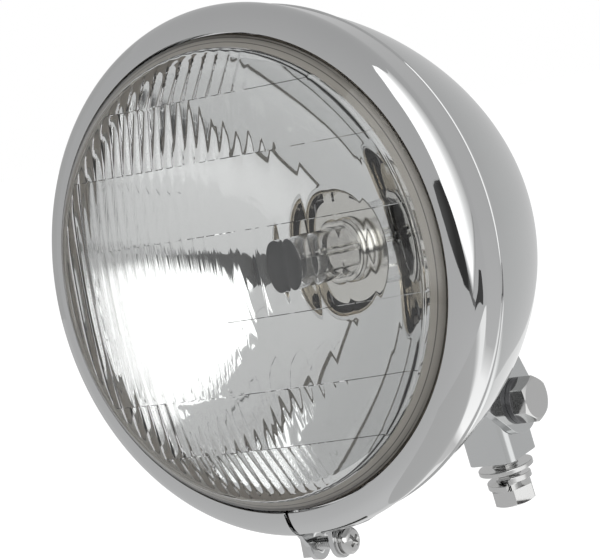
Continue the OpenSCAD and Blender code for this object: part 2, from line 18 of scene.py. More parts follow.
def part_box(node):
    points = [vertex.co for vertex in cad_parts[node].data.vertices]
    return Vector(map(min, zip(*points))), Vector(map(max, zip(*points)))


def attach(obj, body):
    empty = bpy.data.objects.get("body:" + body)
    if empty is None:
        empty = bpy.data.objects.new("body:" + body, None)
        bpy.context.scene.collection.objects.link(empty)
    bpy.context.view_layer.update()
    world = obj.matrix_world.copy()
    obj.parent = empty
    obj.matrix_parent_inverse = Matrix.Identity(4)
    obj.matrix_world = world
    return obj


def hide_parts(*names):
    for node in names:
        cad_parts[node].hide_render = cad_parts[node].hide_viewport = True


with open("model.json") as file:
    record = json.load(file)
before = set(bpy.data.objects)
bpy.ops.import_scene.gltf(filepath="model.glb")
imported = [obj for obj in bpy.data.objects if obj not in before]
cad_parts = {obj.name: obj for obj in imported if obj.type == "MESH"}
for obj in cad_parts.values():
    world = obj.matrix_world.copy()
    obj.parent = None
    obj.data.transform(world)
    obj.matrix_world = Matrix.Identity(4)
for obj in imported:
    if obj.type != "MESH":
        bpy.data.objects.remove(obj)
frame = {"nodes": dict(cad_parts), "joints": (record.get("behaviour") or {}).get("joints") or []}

log = logging.getLogger("headlight")

MM = 0.001
TAU = 2 * math.pi
Point = tuple[float, float]
Colour = tuple[float, float, float]

PIVOT = Vector(frame["joints"][0]["pos_m"])
PIVOT_BACK = 108.0      # mm from the lip back to the pivot
PIVOT_DROP = 58.9       # mm from the lamp's axis down to the pivot
BLOCK_TILT = math.radians(9.5)
FLAT_FOLD = 1.5         # degrees; beside a large flat, an edge with a smaller fold stays smooth
FLAT_RATIO = 5          # how many times larger than its neighbour a large flat is

# The lamp's frame has its origin on the axis in the lip's plane; the block's has its origin on the pivot.
LAMP = Matrix.Translation(PIVOT + Vector((0, -PIVOT_BACK, PIVOT_DROP)) * MM) @ Matrix.Scale(MM, 4)
BLOCK = Matrix.Translation(PIVOT) @ Matrix.Rotation(BLOCK_TILT, 4, "X") @ Matrix.Scale(MM, 4)
PIN = Matrix.Translation(PIVOT) @ Matrix.Scale(MM, 4)
ROW = Matrix.Identity(4)


class Body(Enum):
    """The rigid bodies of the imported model."""

    LAMP = "lamp"
    MOUNT = "mount"


class Outside(Enum):
    """Which way the faces of an open skin look."""

    OUTWARD = 1
    INWARD = -1


# Shader graph


class Value:
    """A number on a shader socket, which takes part in Python arithmetic."""

    def __init__(self, graph: "Graph", socket: bpy.types.NodeSocket) -> None:
        """Wrap a socket.

        Args:
            graph: The graph that the socket belongs to.
            socket: An output socket that carries a number.
        """
        self.graph = graph
        self.socket = socket

    def _math(self, operation: str, first: "Input", second: "Input") -> "Value":
        """Add one Math node and return its result."""
        node = self.graph.node("ShaderNodeMath", {"operation": operation}, {0: first, 1: second})
        return Value(self.graph, node.outputs[0])

    def __add__(self, other: "Input") -> "Value":
        """Return self + other."""
        return self._math("ADD", self, other)

    def __radd__(self, other: "Input") -> "Value":
        """Return other + self."""
        return self._math("ADD", other, self)

    def __sub__(self, other: "Input") -> "Value":
        """Return self - other."""
        return self._math("SUBTRACT", self, other)

    def __rsub__(self, other: "Input") -> "Value":
        """Return other - self."""
        return self._math("SUBTRACT", other, self)

    def __mul__(self, other: "Input") -> "Value":
        """Return self * other."""
        return self._math("MULTIPLY", self, other)

    def __rmul__(self, other: "Input") -> "Value":
        """Return other * self."""
        return self._math("MULTIPLY", other, self)


Input = float | Sequence[float] | bpy.types.NodeSocket | Value


class Graph:
    """The node tree of one material or of the world."""

    def __init__(self, name: str, world: bpy.types.World | None = None) -> None:
        """Start a tree with only its coordinates.

        Args:
            name: The new material's name.
            world: The world whose tree it is instead.
        """
        self.material = bpy.data.materials.new(name) if world is None else None
        owner = self.material if world is None else world
        owner.use_nodes = True
        self.tree = owner.node_tree
        self.tree.nodes.clear()
        self.places = self.node("ShaderNodeTexCoord").outputs

    def node(self, kind: str, settings: dict[str, object] | None = None,
             inputs: dict[int | str, Input] | None = None) -> bpy.types.Node:
        """Add any node.

        Args:
            kind: The node's type.
            settings: Values of the node's own properties; "stops" sets a colour ramp's positions and colours.
            inputs: What each input gets, by its name or index.

        Returns:
            The new node.
        """
        made = self.tree.nodes.new(kind)
        for key, value in (settings or {}).items():
            if key == "stops":
                ramp = made.color_ramp.elements
                while len(ramp) < len(value):
                    ramp.new(0.5)
                for stop, (place, colour) in zip(ramp, value):
                    stop.position = place
                    stop.color = (*colour, 1.0)
            else:
                setattr(made, key, value)
        for key, value in (inputs or {}).items():
            if isinstance(value, Value):
                value = value.socket
            if isinstance(value, bpy.types.NodeSocket):
                self.tree.links.new(value, made.inputs[key])
            else:
                made.inputs[key].default_value = value
        return made

    def noise(self, scale: float, detail: float = 3.0, stretch: Sequence[float] = (1, 1, 1)) -> Value:
        """Add a noise around 0.5.

        Args:
            scale: Waves a metre.
            detail: Octaves of finer noise.
            stretch: Factors on the coordinates, to draw the pattern out along an axis.

        Returns:
            The noise's value.
        """
        mapped = self.node("ShaderNodeMapping", {}, {"Vector": self.places["Object"], "Scale": stretch})
        made = self.node("ShaderNodeTexNoise", {}, {"Vector": mapped.outputs[0], "Scale": scale, "Detail": detail})
        return Value(self, made.outputs["Fac"])

    def blend(self, factor: Input, first: Colour, second: Input) -> bpy.types.NodeSocket:
        """Mix two colours.

        Args:
            factor: Share of the second.
            first: A colour.
            second: Another colour, or the socket of one.

        Returns:
            The socket of the mixed colour.
        """
        end = second if isinstance(second, bpy.types.NodeSocket) else (*second, 1)
        mix = self.node("ShaderNodeMix", {"data_type": "RGBA"}, {0: factor, 6: (*first, 1), 7: end})
        return mix.outputs[2]

    def along_y(self, start: float, end: float) -> Value:
        """Measure how far a place lies between two depths.

        Args:
            start: Where along Y the value is 0, in metres.
            end: Where it is 1.

        Returns:
            The value, which stays at 0 before the start and at 1 behind the end.
        """
        depth = self.node("ShaderNodeSeparateXYZ", {}, {0: self.places["Object"]}).outputs[1]
        made = self.node("ShaderNodeMapRange", {}, {"Value": depth, "From Min": start, "From Max": end})
        return Value(self, made.outputs[0])

    def bump(self, height: Value, depth: float, strength: float = 1.0) -> bpy.types.NodeSocket:
        """Return the normal of a bumped surface, its depth in metres."""
        made = self.node("ShaderNodeBump", {}, {"Height": height, "Distance": depth, "Strength": strength})
        return made.outputs[0]

    def surface(self, **inputs: Input) -> bpy.types.Material:
        """Close the graph with one principled shader.

        Args:
            inputs: The shader's inputs, with underscores for the spaces in their names.

        Returns:
            The finished material.
        """
        shader = self.node("ShaderNodeBsdfPrincipled", {}, {k.replace("_", " "): v for k, v in inputs.items()})
        self.node("ShaderNodeOutputMaterial", {}, {"Surface": shader.outputs[0]})
        return self.material


def rgba(colour: Colour) -> tuple[float, float, float, float]:
    """Return a colour with full opacity."""
    return (*colour, 1.0)


@dataclass(frozen=True)
class Plate:
    """Polished or bright plated metal: faint haze and a very shallow waviness."""

    name: str
    colour: Colour
    roughness: float
    haze: float = 0.02
    wave: float = 0.000002
    wave_scale: float = 90.0
    bare: tuple[float, Colour] | None = None
    bare_fade: float = 0.0003

    def material(self) -> bpy.types.Material:
        """Make the finish. Behind the bare stretch's start along Y, the plate gives way to the stretch's colour.

        Returns:
            The material.
        """
        graph = Graph(self.name)
        film = graph.noise(38.0, 4.0)
        dulled = tuple(c * 0.94 for c in self.colour)
        tone = graph.blend(film, self.colour, dulled)
        if self.bare:
            start, colour = self.bare
            tone = graph.blend(1 - graph.along_y(start, start + self.bare_fade), colour, tone)
        return graph.surface(
            Base_Color=tone,
            Metallic=1.0,
            Roughness=self.roughness + (film - 0.5) * self.haze,
            Normal=graph.bump(graph.noise(self.wave_scale, 1.0), self.wave),
        )


@dataclass(frozen=True)
class Brushed:
    """Drawn or rolled steel with fine lines along one axis."""

    name: str
    colour: Colour
    roughness: float
    stretch: tuple[float, float, float] = (1.0, 0.05, 1.0)

    def material(self) -> bpy.types.Material:
        """Make the finish.

        Returns:
            The material.
        """
        graph = Graph(self.name)
        lines = graph.noise(2600.0, 2.0, self.stretch)
        dark = tuple(c * 0.72 for c in self.colour)
        return graph.surface(
            Base_Color=graph.blend(lines, dark, self.colour),
            Metallic=1.0,
            Roughness=self.roughness + (lines - 0.5) * 0.16,
            Normal=graph.bump(lines, 0.00001, 0.6),
        )


@dataclass(frozen=True)
class Pressed:
    """Clear pressed glass."""

    name: str
    colour: Colour
    index: float = 1.5

    def material(self) -> bpy.types.Material:
        """Make the finish.

        Returns:
            The material.
        """
        graph = Graph(self.name)
        return graph.surface(
            Base_Color=rgba(self.colour),
            Roughness=0.0,
            IOR=self.index,
            Transmission_Weight=1.0,
            Normal=graph.bump(graph.noise(55.0, 2.0), 0.000006),
        )


@dataclass(frozen=True)
class Layered:
    """Sealing compound that was laid in layers, so that its tone changes along Y."""

    name: str
    front: float
    back: float
    layers: tuple[tuple[float, Colour], ...]
    roughness: float = 0.7

    def material(self) -> bpy.types.Material:
        """Make the finish.

        Returns:
            The material.
        """
        graph = Graph(self.name)
        place = graph.along_y(self.front, self.back)
        tone = graph.node("ShaderNodeValToRGB", {"stops": list(self.layers)}, {0: place}).outputs[0]
        grain = graph.noise(1400.0)
        return graph.surface(Base_Color=tone, Roughness=self.roughness + (grain - 0.5) * 0.2,
                             Normal=graph.bump(grain, 0.00003))


@dataclass(frozen=True)
class Moulded:
    """Rubber, plastic, paint or compound: a grained, unpolished surface."""

    name: str
    colour: Colour
    roughness: float
    grain: float = 0.00003
    grain_scale: float = 1400.0

    def material(self) -> bpy.types.Material:
        """Make the finish.

        Returns:
            The material.
        """
        graph = Graph(self.name)
        grain = graph.noise(self.grain_scale, 3.0)
        patches = graph.noise(60.0, 3.0)
        light = tuple(c * 1.35 + 0.01 for c in self.colour)
        return graph.surface(
            Base_Color=graph.blend(patches, self.colour, light),
            Roughness=self.roughness + (grain - 0.5) * 0.2,
            Normal=graph.bump(grain, self.grain),
        )


# Mesh helpers


def arc(centre: Point, radius: float, start: float, end: float, steps: int) -> list[Point]:
    """Return points on an arc; angles are in degrees, from the first axis towards the second."""
    turns = [math.radians(start + (end - start) * i / steps) for i in range(steps + 1)]
    return [(centre[0] + radius * math.cos(t), centre[1] + radius * math.sin(t)) for t in turns]


def turn(profile: Sequence[Point], steps: int, closed: bool = False,
         outside: Outside = Outside.OUTWARD) -> bmesh.types.BMesh:
    """Turn a profile of (radius, depth) once round the lamp's axis.

    Args:
        profile: Points in millimetres, in order.
        steps: Facets round the axis.
        closed: Whether the last point joins the first.
        outside: Which way an open skin looks at its widest ring.

    Returns:
        The turned mesh, with its axis along Y.
    """
    bm = bmesh.new()
    verts = [bm.verts.new((r, y, 0.0)) for r, y in profile]
    pairs = list(zip(verts, verts[1:])) + ([(verts[-1], verts[0])] if closed else [])
    edges = [bm.edges.new(pair) for pair in pairs]
    bmesh.ops.spin(bm, geom=verts + edges, cent=(0, 0, 0), axis=(0, 1, 0), dvec=(0, 0, 0), angle=TAU,
                   steps=steps, use_merge=True, use_duplicate=False)
    bmesh.ops.remove_doubles(bm, verts=bm.verts, dist=0.0005)
    bmesh.ops.recalc_face_normals(bm, faces=bm.faces)
    if not closed:
        widest = max(bm.faces, key=lambda f: Vector((f.calc_center_median().x, f.calc_center_median().z)).length)
        centre = widest.calc_center_median()
        looks = widest.normal.x * centre.x + widest.normal.z * centre.z
        if looks * outside.value < 0:
            bmesh.ops.reverse_faces(bm, faces=bm.faces)
    return bm


def new_object(name: str, bm: bmesh.types.BMesh) -> bpy.types.Object:
    """Put a mesh into the scene.

    Args:
        name: The name of the mesh and its object.
        bm: The mesh's builder, which is freed.

    Returns:
        The new object.
    """
    mesh = bpy.data.meshes.new(name)
    bm.to_mesh(mesh)
    bm.free()
    obj = bpy.data.objects.new(name, mesh)
    bpy.context.scene.collection.objects.link(obj)
    return obj


def settle(obj: bpy.types.Object) -> None:
    """Apply an object's modifiers to its mesh.

    Args:
        obj: The object.
    """
    depsgraph = bpy.context.evaluated_depsgraph_get()
    depsgraph.update()
    mesh = bpy.data.meshes.new_from_object(obj.evaluated_get(depsgraph))
    obj.modifiers.clear()
    obj.data = mesh


def cut_out(obj: bpy.types.Object, tool: bmesh.types.BMesh) -> None:
    """Take a mesh out of an object.

    Args:
        obj: The object that is cut.
        tool: The builder of the mesh that is taken out, which is freed.
    """
    cutter = new_object("cutter", tool)
    cut = obj.modifiers.new("cut", "BOOLEAN")
    cut.operation = "DIFFERENCE"
    cut.solver = "EXACT"
    cut.object = cutter
    settle(obj)
    bpy.data.objects.remove(cutter)


def carve(bm: bmesh.types.BMesh, tools: Iterable[bmesh.types.BMesh]) -> bmesh.types.BMesh:
    """Take meshes out of a mesh.

    Args:
        bm: The mesh that is cut, which is freed.
        tools: The meshes that are taken out, which are freed.

    Returns:
        The mesh that is left.
    """
    body = new_object("carved", bm)
    for tool in tools:
        cut_out(body, tool)
    result = bmesh.new()
    result.from_mesh(body.data)
    bpy.data.objects.remove(body)
    return result


def shade(obj: bpy.types.Object, angle: float, flats: bool) -> None:
    """Shade an object smooth apart from its sharp edges.

    Args:
        obj: The object.
        angle: Edges that fold by more than this many degrees are sharp.
        flats: Whether the edges round large flats are sharp too, so that these stay flat.
    """
    bm = bmesh.new()
    bm.from_mesh(obj.data)
    for edge in bm.edges:
        fold = math.degrees(edge.calc_face_angle(0.0)) if edge.is_manifold else 90.0
        small, large = sorted(f.calc_area() for f in edge.link_faces) if edge.is_manifold else (1.0, 1.0)
        edge.smooth = fold <= angle and not (flats and fold > FLAT_FOLD and large > FLAT_RATIO * small)
    for face in bm.faces:
        face.smooth = True
    bm.to_mesh(obj.data)
    bm.free()


@dataclass
class Piece:
    """One finished piece on its way into the scene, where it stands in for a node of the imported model."""

    name: str
    bm: bmesh.types.BMesh
    into: Matrix
    body: Body
    finish: bpy.types.Material
    replaces: str
    wall: float = 0.0
    edge: float = 0.0
    holes: Sequence[bmesh.types.BMesh] = ()
    crisp: float = 32.0
    flats: bool = False

    def place(self) -> None:
        """Make the piece at the origin, with its wall, holes and edges applied, and let it ride on its body."""
        obj = new_object(self.name, self.bm)
        if self.wall:
            wall = obj.modifiers.new("wall", "SOLIDIFY")
            wall.thickness = self.wall
            wall.offset = -1.0
            wall.use_even_offset = True
            settle(obj)
        for hole in self.holes:
            cut_out(obj, hole)
        if self.edge:
            edge = obj.modifiers.new("edge", "BEVEL")
            edge.width = self.edge
            edge.segments = 2
            edge.limit_method = "ANGLE"
            edge.angle_limit = math.radians(50)
            settle(obj)
        obj.data.transform(self.into)
        shade(obj, self.crisp, self.flats)
        obj.data.materials.clear()
        obj.data.materials.append(self.finish)
        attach(obj, self.body.value)
        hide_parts(self.replaces)
        log.info("%s: %d faces", self.name, len(obj.data.polygons))


def rounded_copy(node: str, radius: float, above: float) -> bmesh.types.BMesh:
    """Copy a CAD node, merge the copy and round its edges.

    Args:
        node: The node's name.
        radius: Width of the rounded edges, in millimetres.
        above: Edges that fold by more than this many degrees are rounded.

    Returns:
        The copy, in metres.
    """
    bm = bmesh.new()
    bm.from_mesh(frame["nodes"][node].data)
    bmesh.ops.remove_doubles(bm, verts=bm.verts, dist=2e-6)
    bmesh.ops.dissolve_limit(bm, angle_limit=math.radians(0.6), use_dissolve_boundaries=False,
                             verts=bm.verts, edges=bm.edges)
    if radius:
        folds = [e for e in bm.edges if e.is_manifold and e.calc_face_angle(0.0) > math.radians(above)]
        bmesh.ops.bevel(bm, geom=folds, offset=radius * MM, offset_type="OFFSET", segments=3, profile=0.5,
                        affect="EDGES", clamp_overlap=True, material=-1)
    return bm


def refine(name: str, node: str, body: Body, finish: bpy.types.Material, radius: float = 0.0, above: float = 25.0,
           flats: bool = False) -> None:
    """Put a copy of a CAD node with rounded edges in the node's place.

    Args:
        name: The new piece's name.
        node: The node's name.
        body: The body that it rides on.
        finish: Its finish.
        radius: Width of the rounded edges, in millimetres.
        above: Edges that fold by more than this many degrees are rounded.
        flats: Whether its large flats are shaded flat.
    """
    Piece(name, rounded_copy(node, radius, above), ROW, body, finish, node, flats=flats).place()


def dress(node: str, finish: bpy.types.Material) -> None:
    """Give a CAD node that keeps its shape its finish.

    Args:
        node: The node's name.
        finish: Its finish.
    """
    obj = frame["nodes"][node]
    obj.data.materials.clear()
    obj.data.materials.append(finish)
    obj.data.polygons.foreach_set("use_smooth", [False] * len(obj.data.polygons))
    log.info("%s: dressed", node)


def thread(radius: float, pitch: float, depth: float, length: float) -> bmesh.types.BMesh:
    """Wind a ridge round Z, from Z = 0 upwards.

    Args:
        radius: The thread's crest radius.
        pitch: Rise of one turn.
        depth: Height of the ridge above its root.
        length: Length of the threaded stretch.

    Returns:
        The ridge, in millimetres.
    """
    steps = 40
    turns = int(length / pitch)
    bm = bmesh.new()
    section = [(radius - depth, 0.0), (radius, pitch * 0.42), (radius, pitch * 0.52), (radius - depth, pitch * 0.94)]
    verts = [bm.verts.new((r, 0.0, z)) for r, z in section]
    face = bm.faces.new(verts)
    bmesh.ops.spin(bm, geom=[face, *face.verts, *face.edges], cent=(0, 0, 0), axis=(0, 0, 1),
                   dvec=(0, 0, pitch / steps), angle=TAU * turns, steps=steps * turns, use_duplicate=False)
    bmesh.ops.recalc_face_normals(bm, faces=bm.faces)
    return bm


def join(parts: Iterable[bmesh.types.BMesh]) -> bmesh.types.BMesh:
    """Join meshes.

    Args:
        parts: The meshes, which are freed.

    Returns:
        One mesh of them all.
    """
    whole = bmesh.new()
    for part in parts:
        scratch = bpy.data.meshes.new("part")
        part.to_mesh(scratch)
        part.free()
        whole.from_mesh(scratch)
        bpy.data.meshes.remove(scratch)
    return whole


def box_between(low: Sequence[float], high: Sequence[float]) -> bmesh.types.BMesh:
    """Make a box.

    Args:
        low: Its corner with the smallest coordinates.
        high: Its corner with the largest.

    Returns:
        The box.
    """
    bm = bmesh.new()
    bmesh.ops.create_cube(bm, size=1.0)
    size = [h - l for l, h in zip(low, high)]
    middle = [(h + l) / 2 for l, h in zip(low, high)]
    bmesh.ops.scale(bm, vec=size, verts=bm.verts)
    bmesh.ops.translate(bm, vec=middle, verts=bm.verts)
    return bm


def rod(radius: float, low: float, high: float, segments: int = 48) -> bmesh.types.BMesh:
    """Make a cylinder or prism along Z.

    Args:
        radius: Its radius, out to its corners.
        low: The height of its foot.
        high: The height of its top.
        segments: Facets round it.

    Returns:
        The closed mesh.
    """
    bm = bmesh.new()
    bmesh.ops.create_cone(bm, cap_ends=True, segments=segments, radius1=radius, radius2=radius, depth=high - low)
    bmesh.ops.translate(bm, vec=(0, 0, (low + high) / 2), verts=bm.verts)
    return bm


# Sub-assemblies


@dataclass
class TrimRim:
    """The split trim rim, turned from sheet, with a rounded lip, crown and rear edge."""

    finish: bpy.types.Material
    lip_r: float = 71.4
    crown_r: float = 79.5
    crown_y: float = 7.5
    crown_rise: float = 6.95
    bow_start: float = 8.0
    bow_turn: float = 88.2
    rear_r: float = 77.7
    depth: float = 19.7
    sheet: float = 0.8
    edge_r: float = 0.85
    bead: float = 0.34
    split: Point = (-3.5, -1.9)
    notch: Point = (-3.5, 5.2)
    notch_y: float = 4.4
    slit_end: float = 23.6
    slit_y: float = 5.3
    cut_side: float = 34.0
    cut_top: float = -66.0
    steps: int = 300

    def profile(self) -> list[Point]:
        """Work out the outer skin's section.

        Returns:
            Points from the lip over the crown to the beaded, turned-in rear edge.
        """
        span = (self.crown_r - self.lip_r) / (1 - math.sin(math.radians(self.bow_start)))
        middle = self.crown_r - span
        turns = [math.radians(self.bow_start + self.bow_turn * i / 40) for i in range(41)]
        bow = [(middle + span * math.sin(t), self.crown_y - self.crown_rise * math.cos(t)) for t in turns]
        end = (self.rear_r + self.bead - self.edge_r, self.depth - self.edge_r)
        edge = arc(end, self.edge_r, -50.0, 90.0, 14)
        start = bow[-1]
        skirt = [(start[0] + (edge[0][0] - start[0]) * i / 6, start[1] + (edge[0][1] - start[1]) * i / 6)
                 for i in range(1, 6)]
        return bow + skirt + edge

    def build(self) -> None:
        """Build the rim with its split, the notch for the lugs and the relief slit."""
        bm = turn(self.profile(), self.steps)
        cuts = [((x, 0, 0), (1, 0, 0)) for x in (*self.split, self.notch[1], self.slit_end)]
        cuts += [((0, y, 0), (0, 1, 0)) for y in (self.notch_y, self.slit_y)]
        for place, normal in cuts:
            near = [f for f in bm.faces if self._is_low(f.calc_center_median())]
            geometry = list({v for f in near for v in f.verts} | {e for f in near for e in f.edges}) + near
            bmesh.ops.bisect_plane(bm, geom=geometry, dist=1e-4, plane_co=place, plane_no=normal)
        gone = [f for f in bm.faces if self._is_open(f.calc_center_median())]
        bmesh.ops.delete(bm, geom=gone, context="FACES")
        Piece("trim_rim", bm, LAMP, Body.LAMP, self.finish, "rim", wall=self.sheet, edge=0.1).place()

    def _is_low(self, place: Vector) -> bool:
        """Return whether a place is in the rim's lower part, where its openings are."""
        return place.z < self.cut_top and abs(place.x) < self.cut_side

    def _is_open(self, place: Vector) -> bool:
        """Find out whether a place is in the split, the notch or the slit.

        Args:
            place: A point of the rim.

        Returns:
            True inside one of the three openings.
        """
        in_split = self.split[0] < place.x < self.split[1]
        in_notch = self.notch[0] < place.x < self.notch[1] and place.y > self.notch_y
        in_slit = self.notch[1] <= place.x < self.slit_end and self.notch_y < place.y < self.slit_y
        return self._is_low(place) and (in_split or in_notch or in_slit)


@dataclass
class RimClamp:
    """The two lugs under the rim with their screw, washers and nut."""

    plate: bpy.types.Material
    steel: bpy.types.Material
    back: float = 15.0
    drop: float = 83.4
    screw_r: float = 2.0
    core_r: float = 1.68
    pitch: float = 0.7
    ridge: float = 0.4
    screw_end: float = -9.5
    threaded: float = 16.0
    head_x: float = 7.2
    head_r: float = 4.1
    head_h: float = 2.3

    def build(self) -> None:
        """Build the clamp's pieces on the screw's axis."""
        for node in ("lug_left", "lug_right"):
            refine(node + "_plate", node, Body.LAMP, self.plate, 0.22)
        axis = LAMP @ Matrix.Translation((0, self.back, -self.drop)) @ Matrix.Rotation(math.pi / 2, 4, "Y")
        shank = rod(self.core_r, self.screw_end, self.head_x + 0.2)
        ridge = thread(self.screw_r, self.pitch, self.ridge, self.threaded)
        bmesh.ops.translate(ridge, vec=(0, 0, self.screw_end + 0.2), verts=ridge.verts)
        Piece("clamp_screw_thread", join([shank, ridge, self._head()]), axis, Body.LAMP, self.steel, "clamp_screw",
              crisp=28.0).place()
        for node in ("clamp_washer", "clamp_spring_washer", "clamp_nut"):
            refine(node + "_plated", node, Body.LAMP, self.steel, 0.12)

    def _head(self) -> bmesh.types.BMesh:
        """Make the pan head with its cross recess.

        Returns:
            The head, on the screw's axis.
        """
        x, r, h = self.head_x, self.head_r, self.head_h
        dome = [(0.0, h), (1.6, h - 0.08), (2.9, h - 0.35), (3.7, h - 0.85), (r, h - 1.5), (r, 0.15), (r - 0.15, 0.0),
                (0.0, 0.0)]
        bm = turn(dome, 64)
        bmesh.ops.rotate(bm, cent=(0, 0, 0), matrix=Matrix.Rotation(math.pi / 2, 3, "X"), verts=bm.verts)
        bmesh.ops.translate(bm, vec=(0, 0, x), verts=bm.verts)
        blades = []
        for angle in (45, 135):
            blade = box_between((-2.7, -0.62, x + 0.7), (2.7, 0.62, x + 2.6))
            low = [v for v in blade.verts if v.co.z < x + 1]
            bmesh.ops.scale(blade, vec=(0.45, 0.7, 1), verts=low)
            bmesh.ops.rotate(blade, cent=(0, 0, 0), matrix=Matrix.Rotation(math.radians(angle), 3, "Z"),
                             verts=blade.verts)
            blades.append(blade)
        return carve(bm, blades)


@dataclass
class Shell:
    """The domed shell and the grommet of its wire inlet."""

    chrome: bpy.types.Material
    rubber: bpy.types.Material
    radius: float = 76.7
    start: float = 19.9
    depth: float = 87.7
    full_y: float = 1.42
    full_r: float = 1.96
    sleeve_r: float = 76.5
    mouth: float = 10.8
    hole_r: float = 5.9
    hole_lean: float = 154.6

    def dome(self, steps: int) -> list[Point]:
        """Work out the dome's section.

        Args:
            steps: Facets from the rim to the tail.

        Returns:
            Points from the rim to the tail.
        """
        points = []
        for i in range(steps + 1):
            t = math.pi / 2 * i / steps
            r = self.radius * max(0.0, math.cos(t)) ** (2 / self.full_r) if i < steps else 0.0
            points.append((r, self.start + self.depth * math.sin(t) ** (2 / self.full_y)))
        return points

    def build(self) -> None:
        """Build the shell with its hole, and dress the grommet."""
        sleeve = [(self.sleeve_r + 0.8, self.mouth), (self.sleeve_r + 0.8, self.mouth + 1.6),
                  (self.sleeve_r, self.mouth + 2.2), (self.sleeve_r, self.start - 0.1)]
        bm = turn(sleeve + self.dome(80), 256)
        low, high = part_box("wire_grommet")
        centre = LAMP.inverted() @ ((low + high) / 2)
        hole = rod(self.hole_r, -8, 8)
        tilt = Matrix.Rotation(math.radians(self.hole_lean), 3, "X")
        bmesh.ops.rotate(hole, cent=(0, 0, 0), matrix=tilt, verts=hole.verts)
        bmesh.ops.translate(hole, vec=centre, verts=hole.verts)
        Piece("domed_shell", bm, LAMP, Body.LAMP, self.chrome, "shell", wall=1.0, holes=[hole], crisp=40.0).place()
        refine("inlet_grommet", "wire_grommet", Body.LAMP, self.rubber, 0.3)


@dataclass(frozen=True)
class Band:
    """One band of flutes on the lens's inner face, between two heights."""

    low: float
    high: float
    fine: float
    wide: float = 0.0
    taper_low: Callable[[float], float] = lambda x: 0.0
    taper_high: Callable[[float], float] = lambda x: 0.0
    lean: float = 0.0
    pitch: float = 4.2
    wide_pitch: float = 9.0
    wide_x: float = 1.5
    soft: float = 0.0
    step: float = 0.0

    def height(self, x: float, z: float) -> float:
        """Work out how far the inner face stands in at a place.

        Each rib is a parabola across its pitch. A taper of 0 leaves the rib at its full width and 1 ends it, so a rib
        whose taper changes along its length comes to a point. The wide flutes are hollow and grow flat to the right.

        Args:
            x: The place's distance to the right of the lamp's axis.
            z: Its height above the axis.

        Returns:
            The flutes' height there, in millimetres.
        """
        share = (z - self.low) / (self.high - self.low)
        middle = (self.low + self.high) / 2
        across = (x - self.lean * (z - middle)) / self.pitch
        u = 2 * (across - round(across))
        width = 1 - self.taper_low(x) * (1 - share) - self.taper_high(x) * share
        rib = self.fine * max(0.0, width * width - u * u) if width > 0 else 0.0
        place = (x - self.wide_x) / self.wide_pitch
        w = 2 * (place - round(place))
        hollow = self.wide * ramp(x, -6, 10) * (1 - 0.8 * ramp(x, 14, 46))
        faint = self.soft * ramp(x, -54, -46) * (1 - ramp(x, -6, 10)) * (1 - u * u)
        return rib + faint - hollow * (1 - w * w) + self.step * (share - 0.5) * ramp(x, -12, 0)


def ramp(x: float, low: float, high: float) -> float:
    """Return 0 below one place, 1 above another, and a straight line between."""
    return min(1.0, max(0.0, (x - low) / (high - low)))


